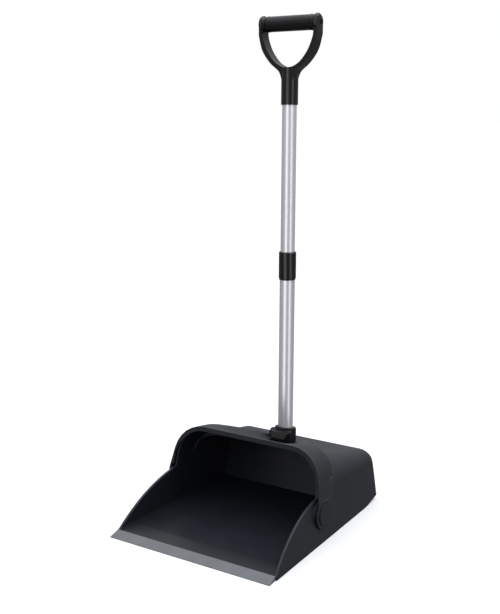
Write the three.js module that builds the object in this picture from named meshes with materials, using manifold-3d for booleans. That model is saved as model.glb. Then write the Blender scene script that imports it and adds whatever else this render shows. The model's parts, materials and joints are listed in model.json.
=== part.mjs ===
// Upright dustpan: a hooded pan, a tilting yoke, a telescopic aluminium pole and a D-handle.
// Millimetres, +Z up. The open mouth faces -Y. The origin is the middle of the footprint, on the floor.
import * as THREE from "three";
import { mergeVertices } from "three/addons/utils/BufferGeometryUtils.js";
import Module from "manifold-3d";

const wasm = await Module();
wasm.setup();

// Driving dimensions
const GAP = 0.35; // clearance between neighbouring pieces
const FRONT_Y = -180; // front edge of the lip
const REAR_Y = 187; // rearmost point of the pan, measured like every y below from the lip's 180 mm datum
const SIMPLIFY = 0.03; // largest deviation allowed when slivers are merged away
const WALL = 2.6; // moulded wall thickness
const LEAN = 0.55; // degrees the pole leans back in its socket
const FLOOR_TOP = 7.5;
const FLOOR_THICKNESS = 2.6;

const LIP = { rearY: -162, height: 6.8, edge: 0.8, frontHalf: 145.8, rearHalf: 144.3 };
const TONGUE = { half: 138, frontY: -169.5, low: 1.5, high: 3.0 };
const RAMP = { startY: -161.6, startZ: 6.0, crestY: -134, crestZ: 8.6, footY: -129 };
const WALL_RIM = { startY: -158.5, startZ: 7.6, endY: -32, endZ: 71.3, bulge: 0.156 };
const PAN_HALF = { front: 146.2, taper: 0.0274 }; // half-width on the floor, and its loss per mm of depth
const DRAFT = { front: 0.123, kinkY: -33, box: 0.09, boxY: -8, rear: 0.044, rearY: 170 };
const ROOF = { rearY: 167, rearZ: 90.3, slope: 0.2 }; // rear roof plane
const CORNER = { front: 53, rear: 22 }; // shoulder radius of the arch and of the rear end
const BACK = { footY: 122, lean: 0.31 }; // inner back wall
const TAIL = { heelY: 141, heelZ: 8, backZ: 19.6, lean: 0.27, cornerRadius: 10 };

const PIVOT = { y: -14, z: 45 };
const BOSS = { radius: 23, inner: 137.7, web: 139.9, outer: 142.6, recess: 16.7, bore: 8.4 };
const STUB = { radius: 8, end: 140.2, pilot: 2.4, dish: 137.3, dishRadius: 23.8, pad: 1.7 };
const SWEEP = { half: 93, reach: 35, narrow: 60, rear: 60, foot: 60 }; // the roof stays clear of the tilting band's path
const CAP = { radius: 16.3, face: 144, plate: 1.0, skirt: 1.2 };
const ARCH = { topY: -14.4, topZ: 144.4, lean: 0.22, half: 155.8, taper: 0.045, draft: 0.188 };
const RIM = { width: 7.5, depth: 3, footZ: 94 };
const RIDGE = { slope: 0.144, curve: 0.001272 }; // fall of the band's shoulders behind the arch
const VALLEY = { slope: 0.4, floor: 99.8, blend: 4.5, frontHalf: 84, edgeY: 29, spread: 0.633, flat: 29, flank: 34 };
const BAND = { thickness: 2.6, gap: 0.6, sideGap: 2.1, legRearY: 9.5, legInner: 139.2, legFlatZ: 76 };
const NOTCH = { half: 12, frontY: -12.6, rearY: -8, depth: 1.2 }; // shallow finger notch on top of the rim

const POLE_Y = 106.7;
const LEAN_Z = 132.7; // height at which the leaning pole's axis passes through POLE_Y
const LOWER_TUBE = { outer: 12.5, inner: 12, bottom: 106.8, top: 404 };
const UPPER_TUBE = { outer: 11.7, inner: 11.1, bottom: 366, top: 690 };
const SOCKET = { radius: 18.2, base: 99, top: 126.6, fall: 0.18, footY: 79, footTop: 113, screwX: 14 };
const KNOB = { z: 111.3, radius: 9.6, start: 19.2, length: 8, lobes: 10, screw: 2.4, insert: 4.2 };
const COLLAR = { bottom: 379, top: 425, radius: 14.25 };
const HANDLE = { barZ: 785, ear: 13.4, boss: 11.6, half: 53.4, innerHalf: 46.2, ring: 41.3 };
const THROAT = { depth: 19, sleeve: 13.6, foot: 660, neck: 699, opening: 717.6, screw: 1.8 };
const GRIP = { radius: 12, half: 41, bolt: 2.5, head: 3.8, seat: 3 };

// Material colours, roughness and metalness
const finish = (color, roughness, metalness = 0) => new THREE.MeshStandardMaterial({ color, roughness, metalness });
const CHARCOAL = finish(0x3a3c40, 0.42);
const LIP_GREY = finish(0x7c7d80, 0.6);
const BLACK = finish(0x17181a, 0.3);
const SILVER = finish(0xc9cacd, 0.32, 0.9);
const STEEL = finish(0x9a9c9f, 0.35, 0.9);

// ---- solids ----

// A closed three.js geometry as a manifold solid, whichever way its faces point.
function solidOf(geometry) {
  const bare = geometry.clone();
  bare.deleteAttribute("normal");
  bare.deleteAttribute("uv");
  const merged = mergeVertices(bare, 1e-4);
  const index = Array.from(merged.index.array);
  const kept = [];
  for (let i = 0; i < index.length; i += 3) {
    const [a, b, c] = index.slice(i, i + 3);
    if (a !== b && b !== c && a !== c) kept.push(a, b, c);
  }
  const build = (triangles) =>
    new wasm.Manifold(
      new wasm.Mesh({
        numProp: 3,
        vertProperties: merged.attributes.position.array,
        triVerts: new Uint32Array(triangles),
      }),
    );
  const made = build(kept);
  return made.volume() >= 0 ? made : build(kept.reverse());
}

function geometryOf(solid) {
  const mesh = solid.simplify(SIMPLIFY).getMesh();
  const geometry = new THREE.BufferGeometry();
  geometry.setAttribute("position", new THREE.BufferAttribute(new Float32Array(mesh.vertProperties), 3));
  geometry.setIndex(new THREE.BufferAttribute(new Uint32Array(mesh.triVerts), 1));
  geometry.computeVertexNormals();
  return geometry;
}

const group = new THREE.Group();

function place(name, solid, material) {
  const mesh = new THREE.Mesh(geometryOf(solid), material);
  mesh.name = name;
  group.add(mesh);
}

// Cylinder about an axis through `at`, from `from` to `to` along that axis.
function rod(axis, radius, from, to, at = [0, 0, 0], segments = 40) {
  const geometry = new THREE.CylinderGeometry(radius, radius, to - from, segments);
  geometry.translate(0, (from + to) / 2, 0);
  return turned(geometry, axis, at);
}

// Solid of revolution: profile points are [radius, distance along the axis].
function lathe(axis, profile, at = [0, 0, 0], segments = 48) {
  const points = profile.map(([r, t]) => new THREE.Vector2(r, t));
  return turned(new THREE.LatheGeometry(points, segments), axis, at);
}

function turned(geometry, axis, at) {
  if (axis === "x") geometry.rotateZ(-Math.PI / 2);
  if (axis === "z") geometry.rotateX(Math.PI / 2);
  geometry.translate(at[0], at[1], at[2]);
  return solidOf(geometry);
}

function ring(axis, inner, outer, from, to, at, segments) {
  const profile = [[inner, from], [outer, from], [outer, to], [inner, to], [inner, from]];
  return lathe(axis, profile, at, segments);
}

function block(x0, x1, y0, y1, z0, z1) {
  const geometry = new THREE.BoxGeometry(x1 - x0, y1 - y0, z1 - z0);
  geometry.translate((x0 + x1) / 2, (y0 + y1) / 2, (z0 + z1) / 2);
  return solidOf(geometry);
}

// A Shape drawn as (y, z) and extruded along X, or drawn as (x, y) and extruded along Z, or (x, z) along Y.
function extrude(shape, axis, from, to, curveSegments = 12) {
  const geometry = new THREE.ExtrudeGeometry(shape, { depth: to - from, bevelEnabled: false, curveSegments });
  geometry.translate(0, 0, from);
  if (axis === "x") geometry.applyMatrix4(new THREE.Matrix4().set(0, 0, 1, 0, 1, 0, 0, 0, 0, 1, 0, 0, 0, 0, 0, 1));
  if (axis === "y") geometry.applyMatrix4(new THREE.Matrix4().set(1, 0, 0, 0, 0, 0, 1, 0, 0, 1, 0, 0, 0, 0, 0, 1));
  return solidOf(geometry);
}

function polygon(points) {
  return new THREE.Shape(points.map(([a, b]) => new THREE.Vector2(a, b)));
}

// Closed skin through a row of sections, each a list of [x, z] at its own y.
function loft(stations) {
  const count = stations[0].points.length;
  const positions = stations.flatMap(({ y, points }) => points.flatMap(([x, z]) => [x, y, z]));
  const index = [];
  for (let s = 0; s + 1 < stations.length; s++) {
    for (let i = 0; i < count; i++) {
      const a = s * count + i;
      const b = s * count + ((i + 1) % count);
      index.push(a, b, b + count, a, b + count, a + count);
    }
  }
  const cap = (station) => {
    const outline = station.points.map(([x, z]) => new THREE.Vector2(x, z));
    return THREE.ShapeUtils.triangulateShape(outline, []);
  };
  const last = (stations.length - 1) * count;
  for (const [a, b, c] of cap(stations[0])) index.push(a, c, b);
  for (const [a, b, c] of cap(stations.at(-1))) index.push(last + a, last + b, last + c);
  const geometry = new THREE.BufferGeometry();
  geometry.setAttribute("position", new THREE.Float32BufferAttribute(positions, 3));
  geometry.setIndex(index);
  return solidOf(geometry);
}

const lerp = (a, b, t) => a + (b - a) * Math.min(1, Math.max(0, t));

// ---- the hood's shape, shared by the pan and the yoke ----

const halfWidth = (y) => PAN_HALF.front - PAN_HALF.taper * (y + 158.5);
const cornerRadius = (y) => lerp(CORNER.front, CORNER.rear, (y - ARCH.topY) / (ROOF.rearY - ARCH.topY));
const leanY = (z, offset = 0) => ARCH.topY + ARCH.lean * (z - ARCH.topZ) + offset;
const planeZ = (y) => ROOF.rearZ + ROOF.slope * (ROOF.rearY - y);
const panSide = 175; // beyond the pan on either side

function draft(y) {
  if (y <= DRAFT.kinkY) return DRAFT.front;
  if (y <= DRAFT.boxY) return lerp(DRAFT.front, DRAFT.box, (y - DRAFT.kinkY) / (DRAFT.boxY - DRAFT.kinkY));
  return lerp(DRAFT.box, DRAFT.rear, (y - DRAFT.boxY) / (DRAFT.rearY - DRAFT.boxY));
}

// Height of the band's shoulders behind the arch.
function ridgeZ(y) {
  const behind = y - ARCH.topY;
  return ARCH.topZ - RIDGE.slope * behind - RIDGE.curve * Math.max(0, behind) ** 2;
}

// Height along the middle of the band: it drops faster than the shoulders, then levels out under the socket.
function valleyZ(y) {
  const above = ARCH.topZ - VALLEY.slope * (y - ARCH.topY) - VALLEY.floor;
  const smooth = (above + Math.sqrt(above * above + VALLEY.blend ** 2)) / 2;
  return Math.min(ridgeZ(y), VALLEY.floor + smooth);
}

// Half-width of the valley at its upper edge, which follows the band's rear edge.
const valleyHalf = (y) => Math.min(VALLEY.frontHalf, VALLEY.frontHalf - VALLEY.spread * (y - VALLEY.edgeY));

// Arch section: drafted sides, round shoulders, and a flat-bottomed valley `dip` deep and `valley` half-wide.
function archSection(half, slope, top, radius, bottom, dip = 0, valley = 40) {
  const right = [[half - slope * bottom, bottom]];
  const reach = Math.sqrt(1 + slope * slope);
  const centre = [half - slope * (top - radius) - radius * reach, top - radius];
  const start = Math.atan(slope);
  const steps = 6;
  for (let i = 0; i <= steps; i++) {
    const angle = start + ((Math.PI / 2 - start) * i) / steps;
    right.push([centre[0] + radius * Math.cos(angle), centre[1] + radius * Math.sin(angle)]);
  }
  const flank = Math.max(4, Math.min(VALLEY.flank, valley - VALLEY.flat));
  const waves = 4;
  for (let i = 0; i <= waves; i++) {
    const fall = (dip * (1 - Math.cos((Math.PI * i) / waves))) / 2;
    right.push([valley - (flank * i) / waves, top - fall]);
  }
  return [...right, ...right.map(([x, z]) => [-x, z]).reverse()];
}

const STATIONS = [-185, -120, DRAFT.kinkY, ARCH.topY, 5, 22, 38, 52, 66, 78, 88, 98, 108, 118, 130, 150, 190];

// The pan's form under the height `roof(y)`, pulled in by `inset` at the sides.
function panForm(inset, roof, bottom) {
  return loft(
    STATIONS.map((y) => ({
      y,
      points: archSection(halfWidth(y) - inset, draft(y), roof(y), cornerRadius(y) - inset, bottom),
    })),
  );
}

// The yoke's outer form, flared outwards at the legs and dished along the middle.
function yokeForm(inset) {
  return loft(
    STATIONS.slice(1, -2).map((y) => ({
      y,
      points: archSection(
        ARCH.half - ARCH.taper * (y + 36) - inset,
        ARCH.draft,
        ridgeZ(y) - inset,
        cornerRadius(y) - inset,
        0,
        ridgeZ(y) - valleyZ(y),
        valleyHalf(y),
      ),
    })),
  );
}

// Plan outline of the yoke's band: straight across behind the pole, then curving forward to the legs.
function bandPlan(grow) {
  const half = [[141, 11], [136, 21], [128, 28], [112, 29.5], [93, 36], [77, 51], [62, 70], [48, 90], [38, 109], [28, 117.5], [14, 119]].map(
    ([x, y]) => [x + grow * 0.8, y + grow * 0.8],
  );
  const point = ([x, y]) => new THREE.Vector2(x, y);
  const shape = new THREE.Shape();
  shape.moveTo(-panSide, -90);
  shape.lineTo(panSide, -90);
  shape.lineTo(panSide, half[0][1]);
  shape.lineTo(half[0][0], half[0][1]);
  shape.splineThru(half.slice(1).map(point));
  shape.lineTo(-half.at(-1)[0], half.at(-1)[1]);
  shape.splineThru(
    half
      .slice(0, -1)
      .reverse()
      .map(([x, y]) => point([-x, y])),
  );
  shape.lineTo(-panSide, half[0][1]);
  return extrude(shape, "z", -10, 200, 2);
}

// Everything in front of or behind the leaning plane of the arch.
function behindArch(offset) {
  return extrude(
    polygon([
      [leanY(-20, offset), -20],
      [220, -20],
      [220, 190],
      [leanY(190, offset), 190],
    ]),
    "x",
    -panSide,
    panSide,
  );
}

// ---- pan ----

// Side outline: lip end, curved wall rim, mouth plane, leaning tail and raised heel.
function panOutline() {
  const shape = new THREE.Shape();
  const mouth = RIM.depth + 0.8;
  shape.moveTo(LIP.rearY + GAP, 0);
  shape.lineTo(LIP.rearY + GAP, RAMP.startZ);
  shape.lineTo(WALL_RIM.startY, WALL_RIM.startZ);
  const dy = WALL_RIM.endY - WALL_RIM.startY;
  const dz = WALL_RIM.endZ - WALL_RIM.startZ;
  const midY = (WALL_RIM.startY + WALL_RIM.endY) / 2 - WALL_RIM.bulge * dz;
  const midZ = (WALL_RIM.startZ + WALL_RIM.endZ) / 2 + WALL_RIM.bulge * dy;
  shape.quadraticCurveTo(midY, midZ, WALL_RIM.endY, WALL_RIM.endZ);
  shape.lineTo(leanY(WALL_RIM.endZ + 1, mouth), WALL_RIM.endZ + 1);
  shape.lineTo(leanY(170, mouth), 170);
  const tail = (z) => REAR_Y - TAIL.lean * (z - TAIL.backZ);
  shape.lineTo(tail(170), 170);
  shape.lineTo(tail(TAIL.backZ), TAIL.backZ);
  shape.lineTo(REAR_Y - 1, TAIL.heelZ);
  shape.lineTo(TAIL.heelY, 0);
  return shape;
}

// Upright block with round rear corners, leaning forwards as it rises.
function tailBlock(inset) {
  const shape = new THREE.Shape();
  const radius = TAIL.cornerRadius - inset;
  const half = halfWidth(REAR_Y - TAIL.cornerRadius) - inset - 0.3;
  const rear = REAR_Y - inset;
  shape.moveTo(-panSide, -190);
  shape.lineTo(panSide, -190);
  shape.lineTo(panSide, rear - radius - 14);
  shape.lineTo(half, rear - radius);
  shape.absarc(half - radius, rear - radius, radius, 0, Math.PI / 2, false);
  shape.absarc(-half + radius, rear - radius, radius, Math.PI / 2, Math.PI, false);
  shape.lineTo(-panSide, rear - radius - 14);
  const geometry = new THREE.ExtrudeGeometry(shape, { depth: 170, bevelEnabled: false, curveSegments: 5 });
  const shear = new THREE.Matrix4().set(1, 0, 0, 0, 0, 1, -TAIL.lean, TAIL.lean * TAIL.backZ, 0, 0, 1, 0, 0, 0, 0, 1);
  geometry.applyMatrix4(shear);
  return solidOf(geometry);
}

const coveredZ = (y) => valleyZ(y) - BAND.thickness - BAND.gap;

// Rear roof plane outside the yoke's band, and the lower trough roof under it.
function panSkin(inset, bottom) {
  const plane = panForm(inset, (y) => planeZ(y) - inset, bottom);
  const covered = panForm(inset, (y) => coveredZ(y) - inset, bottom);
  const edge = 0.8;
  const both = plane.intersect(covered);
  return both.add(plane.subtract(bandPlan(edge + inset))).add(covered.intersect(bandPlan(edge - inset)));
}

function panRoom() {
  const backY = (z) => BACK.footY + BACK.lean * (z - FLOOR_TOP);
  const outline = polygon([
    [-200, RAMP.startZ - 2],
    [RAMP.startY, RAMP.startZ],
    [RAMP.crestY, RAMP.crestZ],
    [RAMP.footY, FLOOR_TOP],
    [BACK.footY, FLOOR_TOP],
    [backY(170), 170],
    [-200, 170],
  ]);
  const step = block(-panSide, panSide, -200, DRAFT.kinkY, -1, 170).subtract(
    panForm(WALL + 1.2, (y) => 170, -2).intersect(block(-panSide, panSide, -200, DRAFT.kinkY, -2, 171)),
  );
  return panSkin(WALL, 0).intersect(extrude(outline, "x", -panSide, panSide)).subtract(step);
}

// Open pocket behind the inner back wall, reached from below.
function tailPocket() {
  const backY = (z) => BACK.footY + BACK.lean * (z - FLOOR_TOP) + WALL + 1;
  const outline = polygon([
    [backY(-8), -8],
    [REAR_Y + 30, -8],
    [REAR_Y + 30, 170],
    [backY(170), 170],
  ]);
  return panSkin(WALL, -4).intersect(tailBlock(WALL)).intersect(extrude(outline, "x", -panSide, panSide));
}

// Hollow under the floor, between the skirt and three ribs.
function underFloor() {
  const rearY = BACK.footY - 6;
  const roof = FLOOR_TOP - FLOOR_THICKNESS;
  const hollow = panForm(WALL + 1, (y) => 100, -4).intersect(
    block(-panSide, panSide, LIP.rearY + 12, rearY, -4, roof),
  );
  const ribs = [-72, 0, 72].map((x) => block(x - 1, x + 1, LIP.rearY, rearY + 1, 0, roof + 1));
  return ribs.reduce((solid, rib) => solid.subtract(rib), hollow);
}

const sideSpan = (side, a, b) => (side > 0 ? [a, b] : [-b, -a]);
const pivotAt = [0, PIVOT.y, PIVOT.z];

function panBody() {
  const outer = panSkin(0, 0).intersect(extrude(panOutline(), "x", -panSide, panSide)).intersect(tailBlock(0));
  const tongue = block(-TONGUE.half, TONGUE.half, TONGUE.frontY, LIP.rearY + 1, TONGUE.low, TONGUE.high);
  let pan = outer.subtract(panRoom()).subtract(tailPocket()).subtract(underFloor()).add(tongue);
  const { half, reach, narrow, rear, foot } = SWEEP;
  const swept = [[-half, -60], [half, -60], [half, reach], [narrow, rear], [-narrow, rear], [-half, reach]];
  pan = pan.subtract(extrude(polygon(swept), "z", foot, 180));
  for (const side of [-1, 1]) {
    const rodAt = (radius, a, b, segments) => rod("x", radius, ...sideSpan(side, a, b), pivotAt, segments);
    pan = pan.add(rodAt(STUB.dishRadius + 1.5, STUB.dish - STUB.pad, STUB.dish, 40));
    pan = pan.subtract(rodAt(STUB.dishRadius, STUB.dish, 150, 48));
    pan = pan.add(rodAt(STUB.radius, STUB.dish - 0.5, STUB.end, 40));
    pan = pan.subtract(rodAt(STUB.pilot, STUB.dish - 1.2, STUB.end + 2, 20));
  }
  return pan;
}

function lipStrip() {
  const outline = polygon([
    [FRONT_Y, 0],
    [LIP.rearY, 0],
    [LIP.rearY, LIP.height],
    [FRONT_Y, LIP.edge],
  ]);
  const plan = polygon([
    [-LIP.frontHalf, FRONT_Y],
    [LIP.frontHalf, FRONT_Y],
    [LIP.rearHalf, LIP.rearY],
    [-LIP.rearHalf, LIP.rearY],
  ]);
  const half = TONGUE.half + GAP;
  const slot = block(-half, half, TONGUE.frontY - GAP, LIP.rearY + 2, TONGUE.low - GAP, TONGUE.high + GAP);
  return extrude(outline, "x", -160, 160).intersect(extrude(plan, "z", -1, 20)).subtract(slot);
}

// ---- yoke ----

function yoke() {
  const leg = polygon([
    [leanY(PIVOT.z), PIVOT.z],
    [BAND.legRearY, PIVOT.z],
    [BAND.legRearY, 70],
    [130, 75],
    [130, 170],
    [leanY(170), 170],
  ]);
  const everywhere = (low, high, half = panSide) => block(-half, half, -100, 230, low, high);
  const body = yokeForm(0)
    .intersect(extrude(leg, "x", -BOSS.outer, BOSS.outer))
    .intersect(bandPlan(0));
  const panSpace = panForm(-BAND.gap, (y) => coveredZ(y) + BAND.gap, -10).intersect(behindArch(RIM.depth));
  const shell = yokeForm(BAND.thickness).intersect(bandPlan(-BAND.thickness)).intersect(behindArch(RIM.depth));
  const mouth = yokeForm(RIM.width).intersect(everywhere(RIM.footZ, 200));
  const legSpace = panForm(-BAND.sideGap, (y) => 160, -10).intersect(everywhere(-10, RIM.footZ));
  const legFlat = everywhere(-10, BAND.legFlatZ, BAND.legInner);
  const wide = halfWidth(0) - DRAFT.box * RIM.footZ + BAND.sideGap;
  const narrow = ARCH.half - RIM.width - ARCH.draft * 114;
  const taper = extrude(
    polygon([
      [-wide, RIM.footZ - 3],
      [wide, RIM.footZ - 3],
      [wide, RIM.footZ],
      [narrow, 114],
      [-narrow, 114],
      [-wide, RIM.footZ],
    ]),
    "y",
    -100,
    20,
  );
  const notch = block(-NOTCH.half, NOTCH.half, NOTCH.frontY, NOTCH.rearY, 90, 200).subtract(yokeForm(NOTCH.depth));
  const cuts = [panSpace, shell, mouth, legSpace, legFlat, taper, notch];
  let made = cuts.reduce((solid, cut) => solid.subtract(cut), body);
  for (const x of [-SOCKET.screwX, SOCKET.screwX]) made = made.subtract(screwForm(x, 0.35, 0));
  for (const side of [-1, 1]) {
    const rodAt = (radius, a, b, segments) => rod("x", radius, ...sideSpan(side, a, b), pivotAt, segments);
    made = made.add(rodAt(BOSS.radius, BOSS.inner, BOSS.outer, 52));
    made = made.subtract(rodAt(BOSS.recess, BOSS.web, BOSS.outer + 5, 48));
    made = made.subtract(rodAt(BOSS.bore, BOSS.inner - 5, BOSS.outer + 5, 40));
  }
  return made;
}

// ---- pivots: washer, screw and snap-in cap on each side ----

function pivotWasher(side) {
  const from = BOSS.web + 0.5;
  return ring("x", STUB.pilot + 0.3, 12.5, ...sideSpan(side, from, from + 1), pivotAt, 40);
}

function pivotScrew(side) {
  const seat = BOSS.web + 1.8;
  const shaft = rod("x", STUB.pilot - GAP, ...sideSpan(side, STUB.dish - 0.6, seat + 0.1), pivotAt, 16);
  return shaft.add(rod("x", 5, ...sideSpan(side, seat, seat + 0.9), pivotAt, 24));
}

function pivotCap(side) {
  const profile = [
    [0, CAP.face - CAP.plate],
    [CAP.radius - CAP.skirt, CAP.face - CAP.plate],
    [CAP.radius - CAP.skirt, BOSS.web + 0.6],
    [CAP.radius, BOSS.web + 0.6],
    [CAP.radius, CAP.face - 0.8],
    [CAP.radius - 0.8, CAP.face - 0.1],
    [0, CAP.face],
  ];
  const mirrored = profile.map(([r, t]) => [r, side * t]);
  return lathe("x", mirrored, pivotAt, 44);
}

// ---- pole socket: barrel, thumbscrew and its insert ----

const poleAt = [0, POLE_Y, 0];
const knobAt = [0, POLE_Y, KNOB.z];

// Tips a piece built upright back by the pole's lean.
const leaned = (solid) =>
  solid.translate([0, -POLE_Y, -LEAN_Z]).rotate([-LEAN, 0, 0]).translate([0, POLE_Y, LEAN_Z]);

function poleSocket() {
  const { radius, base, top, fall, footY, footTop } = SOCKET;
  const bevel = 2.2;
  const profile = [
    [0, base],
    [radius, base],
    [radius, top - 2.5],
    [radius - bevel, top + 6],
    [0, top + 6],
  ];
  const barrel = lathe("z", profile, poleAt, 44);
  const foot = extrude(
    polygon([
      [-13, footY],
      [13, footY],
      [radius - 0.4, footY + 11],
      [radius - 0.4, POLE_Y],
      [-radius + 0.4, POLE_Y],
      [-radius + 0.4, footY + 11],
    ]),
    "z",
    base,
    top - 4,
  );
  // Side profile: sloping top, rounded shoulder and a raked front.
  const side = extrude(
    polygon([
      [POLE_Y + radius + 2, base - 5],
      [POLE_Y + radius + 2, top - fall * (radius + 2) - 2],
      [POLE_Y + radius - 2, top - fall * (radius - 2)],
      [POLE_Y - radius + 3, top + fall * (radius - 3)],
      [POLE_Y - radius, top + fall * radius - 2.6],
      [footY, footTop],
      [footY, base - 5],
    ]),
    "x",
    -60,
    60,
  );
  const bore = leaned(rod("z", LOWER_TUBE.outer + GAP, LOWER_TUBE.bottom - 0.5, top + 12, poleAt, 40));
  const boss = rod("x", 7.4, -KNOB.start + GAP, -12, knobAt, 32);
  let socket = barrel.add(foot).intersect(side).add(boss).subtract(bore).subtract(yokeForm(-GAP));
  socket = socket.subtract(rod("x", KNOB.insert + 0.3, -KNOB.start, -14.2, knobAt, 28));
  socket = socket.subtract(rod("x", KNOB.screw + GAP, -KNOB.start, -10, knobAt, 24));
  for (const x of [-SOCKET.screwX, SOCKET.screwX]) socket = socket.subtract(screwForm(x, 0.3, 1));
  return socket;
}

// Countersunk screw driven up through the yoke's plate; `grow` widens it into a hole.
function screwForm(x, grow, extra) {
  const under = valleyZ(POLE_Y) - BAND.thickness;
  const low = grow > 0 ? under - 3 : under + 0.1;
  const profile = [
    [0, low],
    [2.9 + grow, low],
    [2.9 + grow, under + 0.2],
    [1.5 + grow, under + 1.6],
    [1.5 + grow, under + 6.4 + extra],
    [0, under + 6.4 + extra],
  ];
  return lathe("z", profile, [x, POLE_Y, 0], 20);
}

function threadedInsert() {
  return ring("x", KNOB.screw + 0.3, KNOB.insert, -KNOB.start + GAP, -14.5, knobAt, 28);
}

function thumbKnob() {
  const shape = new THREE.Shape();
  const steps = KNOB.lobes * 6;
  for (let i = 0; i < steps; i++) {
    const angle = (2 * Math.PI * i) / steps;
    const radius = KNOB.radius - 0.55 + 0.55 * Math.cos(KNOB.lobes * angle);
    if (i === 0) shape.moveTo(radius, 0);
    else shape.lineTo(radius * Math.cos(angle), radius * Math.sin(angle));
  }
  shape.closePath();
  const from = -KNOB.start - KNOB.length;
  const rim = extrude(shape, "x", from, -KNOB.start).translate([0, knobAt[1], knobAt[2]]);
  return rim.subtract(rod("x", KNOB.screw + GAP, from + 2, -KNOB.start + 1, knobAt, 24));
}

function thumbScrew() {
  return rod("x", KNOB.screw, -KNOB.start - KNOB.length + 2.3, -LOWER_TUBE.outer - 0.4, knobAt, 20);
}

// ---- pole ----

function tube({ outer, inner, bottom, top }) {
  return ring("z", inner, outer, bottom, top, poleAt, 40);
}

// Split ring that the collar squeezes on to the upper tube.
function collet() {
  const whole = ring("z", UPPER_TUBE.outer + GAP, 13, LOWER_TUBE.top + GAP, LOWER_TUBE.top + 12, poleAt, 40);
  return whole.subtract(block(-1.2, 1.2, POLE_Y, POLE_Y + 20, LOWER_TUBE.top - 1, LOWER_TUBE.top + 9));
}

function lockCollar() {
  const { bottom, top, radius } = COLLAR;
  const step = LOWER_TUBE.top + 12 + GAP;
  const profile = [
    [LOWER_TUBE.outer + GAP, bottom],
    [radius - 0.7, bottom],
    [radius - 0.7, bottom + 2],
    [radius, bottom + 2.8],
    [radius, top - 1.2],
    [radius - 0.9, top],
    [UPPER_TUBE.outer + GAP, top],
    [UPPER_TUBE.outer + GAP, step],
    [13 + GAP, step],
    [13 + GAP, LOWER_TUBE.top],
    [LOWER_TUBE.outer + GAP, LOWER_TUBE.top],
    [LOWER_TUBE.outer + GAP, bottom],
  ];
  return lathe("z", profile, poleAt, 40);
}

// Plastic bush that centres the upper tube inside the lower one.
function guideBush() {
  const flange = rod("z", LOWER_TUBE.inner - GAP, UPPER_TUBE.bottom - 10, UPPER_TUBE.bottom - GAP, poleAt, 40);
  return flange.add(rod("z", UPPER_TUBE.inner - GAP, UPPER_TUBE.bottom - 1, UPPER_TUBE.bottom + 14, poleAt, 40));
}

// ---- D-handle ----

const barAt = [0, POLE_Y, HANDLE.barZ];

// Closed outline drawn as (x, z) through the points of its right half, from the bottom up.
function mirroredOutline(half, top) {
  const point = ([x, z]) => new THREE.Vector2(x, z);
  const shape = new THREE.Shape();
  shape.moveTo(-half[0][0], half[0][1]);
  shape.lineTo(half[0][0], half[0][1]);
  shape.splineThru(half.slice(1).map(point));
  shape.lineTo(half.at(-1)[0], top);
  shape.lineTo(-half.at(-1)[0], top);
  shape.lineTo(-half.at(-1)[0], half.at(-1)[1]);
  const back = half.slice(0, -1).reverse();
  shape.splineThru(back.map(([x, z]) => point([-x, z])));
  return shape;
}

function ear(side) {
  const { ear: radius, boss, half, innerHalf, ring: end } = HANDLE;
  const profile = [
    [0, end],
    [boss, end],
    [boss, innerHalf - 1],
    [radius - 0.6, innerHalf + 0.4],
    [radius, innerHalf + 1.4],
    [radius, innerHalf + 3.4],
    [radius - 1, half - 1.9],
    [radius - 3, half - 0.6],
    [radius - 5.5, half],
    [0, half],
  ];
  return lathe("x", profile.map(([r, t]) => [r, side * t]), barAt, 36);
}

function dHandle() {
  const { barZ, half, innerHalf } = HANDLE;
  const { depth, sleeve, foot, neck, opening } = THROAT;
  const outside = [[9.6, neck - 12], [10.2, neck], [13.2, 708], [17.6, 714], [31.5, 725], [46, 744.3], [half - 0.6, 768]];
  const inside = [[0.5, opening], [9.5, opening + 1.3], [23.2, 726.8], [36.3, 743], [44.8, 762.6], [innerHalf, 776]];
  const plate = extrude(mirroredOutline(outside, barZ), "y", POLE_Y - depth / 2, POLE_Y + depth / 2, 3);
  const hand = extrude(mirroredOutline(inside, barZ + 20), "y", 0, 200, 3);
  let frame = plate.add(rod("z", sleeve, foot, opening + 4, poleAt, 40)).subtract(hand);
  for (const side of [-1, 1]) frame = frame.add(ear(side));
  frame = frame.subtract(rod("z", UPPER_TUBE.outer + GAP, foot - 1, UPPER_TUBE.top + GAP, poleAt, 40));
  frame = frame.subtract(rod("x", GRIP.bolt + GAP, -half - 1, half + 1, barAt, 24));
  frame = frame.subtract(rod("x", GRIP.head + GAP, half - GRIP.seat, half + 1, barAt, 28));
  frame = frame.subtract(rod("x", GRIP.head + GAP, -half - 1, -half + GRIP.seat, barAt, 6));
  return frame.subtract(rod("y", THROAT.screw + 0.3, POLE_Y, POLE_Y + 20, [0, 0, foot + 14], 20));
}

function gripSleeve() {
  const { radius, half, bolt } = GRIP;
  const profile = [
    [bolt + GAP, -half],
    [radius - 0.8, -half],
    [radius, -half + 1],
    [radius, half - 1],
    [radius - 0.8, half],
    [bolt + GAP, half],
    [bolt + GAP, -half],
  ];
  return lathe("x", profile, barAt, 40);
}

function gripBolt() {
  const { bolt, head, seat } = GRIP;
  const shaft = rod("x", bolt, -HANDLE.half + 0.6, HANDLE.half - seat + 0.5, barAt, 24);
  return shaft.add(rod("x", head, HANDLE.half - seat + 0.3, HANDLE.half - 1, barAt, 28));
}

function gripNut() {
  const from = -HANDLE.half + 0.5;
  const nut = rod("x", GRIP.head, from, from + 2.2, barAt, 6);
  return nut.subtract(rod("x", GRIP.bolt + GAP, from - 1, from + 4, barAt, 24));
}

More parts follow.
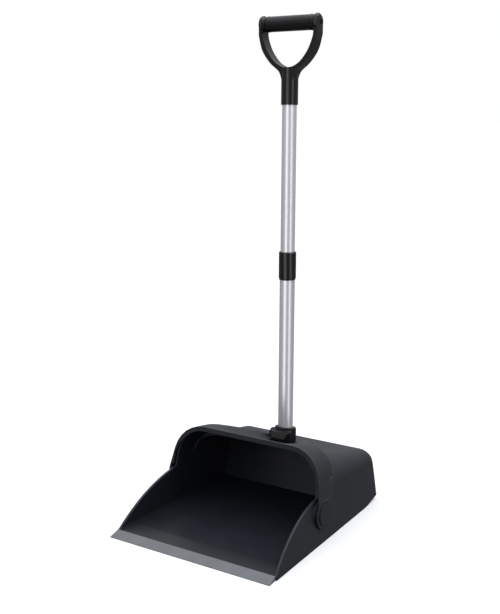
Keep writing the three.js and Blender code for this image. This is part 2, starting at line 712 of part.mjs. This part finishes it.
function handleScrew() {
  const z = THROAT.foot + 14;
  const shaft = rod("y", THROAT.screw - 0.1, POLE_Y + UPPER_TUBE.outer + 0.7, POLE_Y + 14, [0, 0, z], 16);
  return shaft.add(rod("y", 3.4, POLE_Y + THROAT.sleeve + 0.3, POLE_Y + THROAT.sleeve + 1.8, [0, 0, z], 24));
}

place("pan_body", panBody(), CHARCOAL);
place("lip_strip", lipStrip(), LIP_GREY);
place("yoke", yoke(), CHARCOAL);
for (const [side, name] of [[-1, "left"], [1, "right"]]) {
  place(`pivot_washer_${name}`, pivotWasher(side), STEEL);
  place(`pivot_screw_${name}`, pivotScrew(side), STEEL);
  place(`pivot_cap_${name}`, pivotCap(side), CHARCOAL);
  place(`socket_screw_${name}`, screwForm(side * SOCKET.screwX, 0, 0), STEEL);
}
place("pole_socket", poleSocket(), BLACK);
place("threaded_insert", threadedInsert(), STEEL);
place("thumb_knob", thumbKnob(), BLACK);
place("thumb_screw", thumbScrew(), STEEL);
place("lower_tube", leaned(tube(LOWER_TUBE)), SILVER);
place("collet", leaned(collet()), BLACK);
place("lock_collar", leaned(lockCollar()), BLACK);
place("upper_tube", leaned(tube(UPPER_TUBE)), SILVER);
place("guide_bush", leaned(guideBush()), BLACK);
place("d_handle", leaned(dHandle()), BLACK);
place("grip_sleeve", leaned(gripSleeve()), BLACK);
place("grip_bolt", leaned(gripBolt()), STEEL);
place("grip_nut", leaned(gripNut()), STEEL);
place("handle_screw", leaned(handleScrew()), STEEL);

// The origin sits under the middle of the whole object.
group.position.y = -(FRONT_Y + REAR_Y) / 2;

export default group;
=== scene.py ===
"""Long-handled dustpan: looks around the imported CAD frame. Metres, +Z up, the pan's lip towards -Y."""

import json
import math

import bmesh
import bpy
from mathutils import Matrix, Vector

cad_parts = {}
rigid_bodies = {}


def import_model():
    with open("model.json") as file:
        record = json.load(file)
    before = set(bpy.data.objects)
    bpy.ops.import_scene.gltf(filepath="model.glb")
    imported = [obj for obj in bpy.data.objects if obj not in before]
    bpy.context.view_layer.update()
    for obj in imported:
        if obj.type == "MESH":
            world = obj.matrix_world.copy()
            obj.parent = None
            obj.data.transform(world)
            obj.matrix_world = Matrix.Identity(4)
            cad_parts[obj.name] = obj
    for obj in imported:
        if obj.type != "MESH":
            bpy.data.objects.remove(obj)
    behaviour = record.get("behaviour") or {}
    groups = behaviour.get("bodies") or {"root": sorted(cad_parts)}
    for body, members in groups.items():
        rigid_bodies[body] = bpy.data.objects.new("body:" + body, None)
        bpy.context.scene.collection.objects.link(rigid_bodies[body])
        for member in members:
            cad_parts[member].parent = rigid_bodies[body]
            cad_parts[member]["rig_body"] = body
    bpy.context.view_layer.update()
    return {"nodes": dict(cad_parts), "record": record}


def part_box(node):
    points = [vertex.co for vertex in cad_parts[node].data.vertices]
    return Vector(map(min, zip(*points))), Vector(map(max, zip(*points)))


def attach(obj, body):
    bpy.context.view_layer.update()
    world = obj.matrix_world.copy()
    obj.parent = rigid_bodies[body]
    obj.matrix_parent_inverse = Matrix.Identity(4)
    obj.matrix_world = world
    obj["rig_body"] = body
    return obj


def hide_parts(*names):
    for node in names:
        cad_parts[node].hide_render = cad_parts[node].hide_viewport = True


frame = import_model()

scene = bpy.context.scene
nodes = frame["nodes"]
body_of = {n: o["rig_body"] for n, o in nodes.items()}
slot_of = {s["node"]: s["material_slot"] for s in frame["record"]["subparts"]}

# ---------------------------------------------------------------- camera

LENS = 56.13  # mm, for a 36 mm high sensor
STAND = (0.79015, -1.2336, 0.6457)
SIGHT = (-0.5311, 0.8240, -0.1976)

cam_data = bpy.data.cameras.new("camera")
cam_data.sensor_fit = "VERTICAL"
cam_data.sensor_height = 36.0
cam_data.lens = LENS
cam_data.clip_end = 100
cam = bpy.data.objects.new("camera", cam_data)
scene.collection.objects.link(cam)
cam.location = STAND
cam.rotation_euler = Vector(SIGHT).to_track_quat("-Z", "Y").to_euler()
scene.camera = cam

# ---------------------------------------------------------------- materials


def srgb(r, g, b):
    """A display colour of 0 to 255 as linear light."""
    def one(c):
        c /= 255
        return c / 12.92 if c <= 0.04045 else ((c + 0.055) / 1.055) ** 2.4
    return one(r), one(g), one(b), 1.0


LIT_BAND_FADE = 0.0015  # how softly the band of painted light starts
GRAIN_DEPTH = 0.0002


def finish_material(name, colour, rough, metallic=0.0, mottle=0.12, mottle_size=0.03,
                    grain_size=0.0006, grain=0.08, stretch=(1, 1, 1), spread=0.06, specular=0.5,
                    edge=None, edge_size=0.0009, painted_light_band=None):
    """One surface: a mottled colour, an uneven roughness, a fine grain and edges painted lighter, partly as
    rubbed wear and partly as painted highlight.
    Its band argument is (colour, low corner, high corner): a box of the object painted lighter, as painted
    light on a band tilted towards the light."""
    mat = bpy.data.materials.new(name)
    mat.use_nodes = True
    tree = mat.node_tree
    new, link = tree.nodes.new, tree.links.new
    shader = tree.nodes["Principled BSDF"]
    shader.inputs["Metallic"].default_value = metallic
    shader.inputs["Specular IOR Level"].default_value = specular
    place = new("ShaderNodeTexCoord")

    def noise(size, detail, scaled=(1, 1, 1)):
        mapping = new("ShaderNodeMapping")
        mapping.inputs["Scale"].default_value = scaled
        link(place.outputs["Object"], mapping.inputs["Vector"])
        tex = new("ShaderNodeTexNoise")
        tex.inputs["Scale"].default_value = 1 / size
        tex.inputs["Detail"].default_value = detail
        link(mapping.outputs["Vector"], tex.inputs["Vector"])
        return tex

    broad = noise(mottle_size, 4, stretch)
    fine = noise(grain_size, 2, stretch)
    ramp = new("ShaderNodeValToRGB")
    ramp.color_ramp.elements[0].position = 0.3
    ramp.color_ramp.elements[1].position = 0.7
    ramp.color_ramp.elements[0].color = [c * (1 - mottle) for c in colour[:3]] + [1]
    ramp.color_ramp.elements[1].color = [min(1, c * (1 + mottle)) for c in colour[:3]] + [1]
    link(broad.outputs["Fac"], ramp.inputs["Fac"])
    tint = ramp.outputs["Color"]

    def blended(factor, over, under):
        mixer = new("ShaderNodeMix")
        mixer.data_type = "RGBA"
        link(factor, mixer.inputs["Factor"])
        link(under, mixer.inputs[6])
        mixer.inputs[7].default_value = over
        return mixer.outputs[2]

    def product(a, b):
        calc = new("ShaderNodeMath")
        calc.operation = "MULTIPLY"
        calc.use_clamp = True
        link(a, calc.inputs[0])
        link(b, calc.inputs[1])
        return calc.outputs[0]

    def scaled_range(value, low, high, to_low, to_high):
        remap = new("ShaderNodeMapRange")
        for key, v in (("From Min", low), ("From Max", high), ("To Min", to_low), ("To Max", to_high)):
            remap.inputs[key].default_value = v
        link(value, remap.inputs["Value"])
        return remap.outputs["Result"]

    # Painted light: the box is coloured lighter, standing in for a band tilted towards the light.
    if painted_light_band:
        over, low, high = painted_light_band
        split = new("ShaderNodeSeparateXYZ")
        link(place.outputs["Object"], split.inputs[0])
        inside = None
        for along, start, stop in zip(split.outputs, low, high):
            for limits in ((start, start + LIT_BAND_FADE, 0, 1), (stop - LIT_BAND_FADE, stop, 1, 0)):
                fade = scaled_range(along, *limits)
                inside = product(inside, fade) if inside else fade
        tint = blended(inside, over, tint)
    rounded = None
    # Edges painted lighter: partly rubbed wear, partly a painted highlight along rounded edges and beads.
    if edge:
        rounded = new("ShaderNodeBevel")
        rounded.samples = 4
        rounded.inputs["Radius"].default_value = edge_size
        flat = new("ShaderNodeNewGeometry")
        facing = new("ShaderNodeVectorMath")
        facing.operation = "DOT_PRODUCT"
        link(rounded.outputs["Normal"], facing.inputs[0])
        link(flat.outputs["Normal"], facing.inputs[1])
        edge_wear_and_highlight = scaled_range(facing.outputs["Value"], 0.99, 0.86, 0, 0.85)
        tint = blended(edge_wear_and_highlight, edge, tint)
    link(tint, shader.inputs["Base Color"])
    span = new("ShaderNodeMapRange")
    span.inputs["To Min"].default_value = max(0.02, rough - spread)
    span.inputs["To Max"].default_value = rough + spread
    link(broad.outputs["Fac"], span.inputs["Value"])
    link(span.outputs["Result"], shader.inputs["Roughness"])
    bump = new("ShaderNodeBump")
    bump.inputs["Strength"].default_value = grain
    bump.inputs["Distance"].default_value = GRAIN_DEPTH
    link(fine.outputs["Fac"], bump.inputs["Height"])
    if rounded:
        link(rounded.outputs["Normal"], bump.inputs["Normal"])
    link(bump.outputs["Normal"], shader.inputs["Normal"])
    return mat


# The edge colours paint edges lighter: partly rubbed wear, partly painted highlight.
LOOKS = {
    "charcoal_plastic": finish_material("charcoal_plastic", srgb(33, 36, 41), 0.36, grain=0.10,
                                        edge=srgb(88, 92, 98)),
    "lip_rubber": finish_material("lip_rubber", srgb(126, 129, 133), 0.7, grain=0.2, mottle=0.08,
                                  specular=0.3),
    "black_plastic": finish_material("black_plastic", srgb(11, 12, 13), 0.36, specular=0.35, grain=0.10,
                                     edge=srgb(48, 50, 54)),
    "gloss_black": finish_material("gloss_black", srgb(7, 7, 8), 0.2, grain=0.02, spread=0.04, mottle=0.06),
    "silver_tube": finish_material("silver_tube", srgb(226, 226, 229), 0.3, metallic=0.55, mottle=0.03,
                                   mottle_size=0.004, grain_size=0.0004, grain=0.05, stretch=(1, 1, 0.02)),
    "zinc_screw": finish_material("zinc_screw", srgb(178, 180, 182), 0.32, metallic=1.0, mottle_size=0.002),
    "brass_insert": finish_material("brass_insert", srgb(196, 164, 92), 0.3, metallic=1.0, mottle_size=0.002),
    "nylon": finish_material("nylon", srgb(206, 205, 196), 0.5, mottle=0.05, grain=0.05, mottle_size=0.004),
}

BLACK_STEEL = finish_material("black_steel", srgb(20, 20, 21), 0.4, metallic=0.6, mottle_size=0.002)
SPECIAL = {
    "grip_bolt": BLACK_STEEL,
    "grip_nut": BLACK_STEEL,
    "handle_screw": BLACK_STEEL,
    # The pan's band behind the lip gets painted light: a lighter colour for the ramp that faces the light.
    "pan_body": finish_material("charcoal_painted_lit_band", srgb(33, 37, 44), 0.38, grain=0.10, edge=srgb(70, 74, 80),
                                painted_light_band=(srgb(36, 39, 44), (-0.14, -0.167, 0.005), (0.14, -0.136, 0.011))),
}

# ---------------------------------------------------------------- shown surfaces


ROUNDED = {"pole_socket": 14, "thumb_knob": 4}  # moulded pieces with soft edges, and how soft


SOFT_VOXEL = 0.0008
MERGE = 2e-6
CREASE = math.radians(32)


def dressed(name):
    """The node's own form with its faceted curves shaded round and its real edges kept crisp."""
    mesh = nodes[name].data.copy()
    mesh.name = name + "_surface"
    bm = bmesh.new()
    bm.from_mesh(mesh)
    bmesh.ops.remove_doubles(bm, verts=bm.verts, dist=MERGE)
    for edge in bm.edges:
        edge.smooth = len(edge.link_faces) == 2 and edge.calc_face_angle(math.pi) < CREASE
    for face in bm.faces:
        face.smooth = True
    bm.to_mesh(mesh)
    bm.free()
    if "custom_normal" in mesh.attributes:
        mesh.attributes.remove(mesh.attributes["custom_normal"])
    piece = bpy.data.objects.new(name + "_surface", mesh)
    scene.collection.objects.link(piece)
    if name in ROUNDED:
        for kind, values in (("REMESH", {"mode": "VOXEL", "voxel_size": SOFT_VOXEL}),
                             ("SMOOTH", {"factor": 0.5, "iterations": ROUNDED[name]}),
                             ("DECIMATE", {"ratio": 0.35})):
            step = piece.modifiers.new(kind.lower(), kind)
            for key, value in values.items():
                setattr(step, key, value)
            with bpy.context.temp_override(object=piece, active_object=piece):
                bpy.ops.object.modifier_apply(modifier=step.name)
        mesh = piece.data
        for face in mesh.polygons:
            face.use_smooth = True
    mesh.materials.clear()
    mesh.materials.append(SPECIAL.get(name, LOOKS[slot_of[name]]))
    even = piece.modifiers.new("even", "WEIGHTED_NORMAL")
    even.mode = "FACE_AREA"
    even.weight = 60
    even.keep_sharp = True
    bpy.context.view_layer.objects.active = piece
    with bpy.context.temp_override(object=piece, active_object=piece):
        bpy.ops.object.modifier_apply(modifier=even.name)
    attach(piece, body_of[name])
    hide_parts(name)
    return piece


for node_name in sorted(nodes):
    dressed(node_name)



SIDES = (("left", -1), ("right", 1))
AROUND = 72  # steps round a ring
ACROSS = 8  # points on its oval section


def swept_ring(name, centre, axis, radius, section, body, slot_name):
    """A closed ring of oval section about an axis: section's wide and deep are half its width and depth."""
    axis = Vector(axis).normalized()
    first = axis.orthogonal().normalized()
    second = axis.cross(first)
    oval = [(section["wide"] * math.cos(a), section["deep"] * math.sin(a))
            for a in (2 * math.pi * k / ACROSS for k in range(ACROSS))]
    bm = bmesh.new()
    rings = []
    for i in range(AROUND):
        turn = 2 * math.pi * i / AROUND
        out = first * math.cos(turn) + second * math.sin(turn)
        rings.append([bm.verts.new(centre + out * (radius + u) + axis * v) for u, v in oval])
    for i, one in enumerate(rings):
        two = rings[(i + 1) % AROUND]
        for j in range(ACROSS):
            k = (j + 1) % ACROSS
            bm.faces.new((one[j], one[k], two[k], two[j]))
    bmesh.ops.recalc_face_normals(bm, faces=bm.faces)
    for face in bm.faces:
        face.smooth = True
    mesh = bpy.data.meshes.new(name)
    bm.to_mesh(mesh)
    bm.free()
    piece = bpy.data.objects.new(name, mesh)
    scene.collection.objects.link(piece)
    mesh.materials.append(LOOKS[slot_name])
    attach(piece, body)


GAP_SHADE = {"wide": 0.0008, "deep": 0.0009, "sunk": 0.0011, "outside": 0.0003}
RING = {"wide": 0.0006, "deep": 0.0009, "inset": 0.0022, "inside": 0.0001}

# Dark ring of painted shade in the gap round each pivot cap.
for side, sign in SIDES:
    low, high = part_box("pivot_cap_" + side)
    centre = (low + high) / 2
    centre.x = (high.x if sign > 0 else low.x) - sign * GAP_SHADE["sunk"]
    swept_ring("cap_gap_shade_" + side, centre, (sign, 0, 0), (high.z - low.z) / 2 + GAP_SHADE["outside"], GAP_SHADE,
               "yoke", "black_plastic")


# Fine moulded rings near the ends of the grip bar.
low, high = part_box("grip_sleeve")
for side, sign in SIDES:
    centre = (low + high) / 2
    centre.x = sign * (high.x - RING["inset"])
    swept_ring("grip_ring_" + side, centre, (1, 0, 0), (high.z - low.z) / 2 - RING["inside"], RING,
               "upper", "gloss_black")

# ---------------------------------------------------------------- floor and light

bpy.ops.mesh.primitive_plane_add(size=60, location=(0, 20, 0))
floor = bpy.context.object
floor.name = "floor"
floor.data.materials.append(finish_material("floor", (0.94, 0.94, 0.94, 1), 0.9, mottle=0.004,
                                            mottle_size=0.4, grain=0.01, specular=0.1))
shade = floor.data.materials[0].node_tree.nodes["Principled BSDF"]
shade.inputs["Emission Color"].default_value = (1, 1, 1, 1)
shade.inputs["Emission Strength"].default_value = 0.24
floor.visible_diffuse = False
floor.visible_glossy = False
floor.visible_shadow = False

# Brightness by height, from straight down to straight up.
SKY = ((0.0, 0.13), (0.4, 0.2), (0.5, 0.33), (0.66, 0.42), (1.0, 1.3))

world = bpy.data.worlds.new("studio")
scene.world = world
world.use_nodes = True
w = world.node_tree
back = w.nodes["Background"]
back.inputs["Strength"].default_value = 1.0
heading = w.nodes.new("ShaderNodeTexCoord")
height = w.nodes.new("ShaderNodeSeparateXYZ")
sky = w.nodes.new("ShaderNodeValToRGB")
lift = w.nodes.new("ShaderNodeMapRange")
lift.inputs["From Min"].default_value = -1.0
w.links.new(heading.outputs["Generated"], height.inputs[0])
w.links.new(height.outputs[2], lift.inputs["Value"])
w.links.new(lift.outputs["Result"], sky.inputs["Fac"])
w.links.new(sky.outputs["Color"], back.inputs["Color"])
while len(sky.color_ramp.elements) < 5:
    sky.color_ramp.elements.new(0.5)
for stop, (at, level) in zip(sky.color_ramp.elements, SKY):
    stop.position = at
    stop.color = (level * 0.97, level * 0.99, level * 1.03, 1)
seen = w.nodes.new("ShaderNodeBackground")
seen.inputs["Color"].default_value = (1, 1, 1, 1)
seen.inputs["Strength"].default_value = 1.0
path = w.nodes.new("ShaderNodeLightPath")
mix = w.nodes.new("ShaderNodeMixShader")
w.links.new(path.outputs["Is Camera Ray"], mix.inputs["Fac"])
w.links.new(back.outputs["Background"], mix.inputs[1])
w.links.new(seen.outputs["Background"], mix.inputs[2])
w.links.new(mix.outputs["Shader"], w.nodes["World Output"].inputs["Surface"])


def softbox(name, place, target, width, height, power):
    """A rectangular soft light that looks at a point."""
    data = bpy.data.lights.new(name, "AREA")
    data.shape = "RECTANGLE"
    data.size, data.size_y = width, height
    data.energy = power
    lamp = bpy.data.objects.new(name, data)
    scene.collection.objects.link(lamp)
    lamp.location = place
    lamp.rotation_euler = (Vector(target) - Vector(place)).to_track_quat("-Z", "Y").to_euler()
    lamp.visible_camera = False
    return lamp


left_band = softbox("left_band", (-0.05, -2.5, 0.6), (0, 0.1, 0.6), 1.6, 3.8, 27)
right_band = softbox("right_band", (2.41, -0.60, 0.6), (0, 0.1, 0.6), 1.2, 3.8, 18)
upright = bpy.data.collections.new("upright")
scene.collection.children.link(upright)
for part in ("lower_tube", "upper_tube", "lock_collar", "d_handle", "grip_sleeve"):
    upright.objects.link(bpy.data.objects[part + "_surface"])
for band in (left_band, right_band):
    band.light_linking.receiver_collection = upright
softbox("overhead", (0.9, 0.6, 2.4), (0, 0, 0.1), 1.4, 1.4, 12)

scene.view_settings.view_transform = "Standard"
scene.view_settings.look = "None"
scene.view_settings.exposure = 0
scene.view_settings.gamma = 1
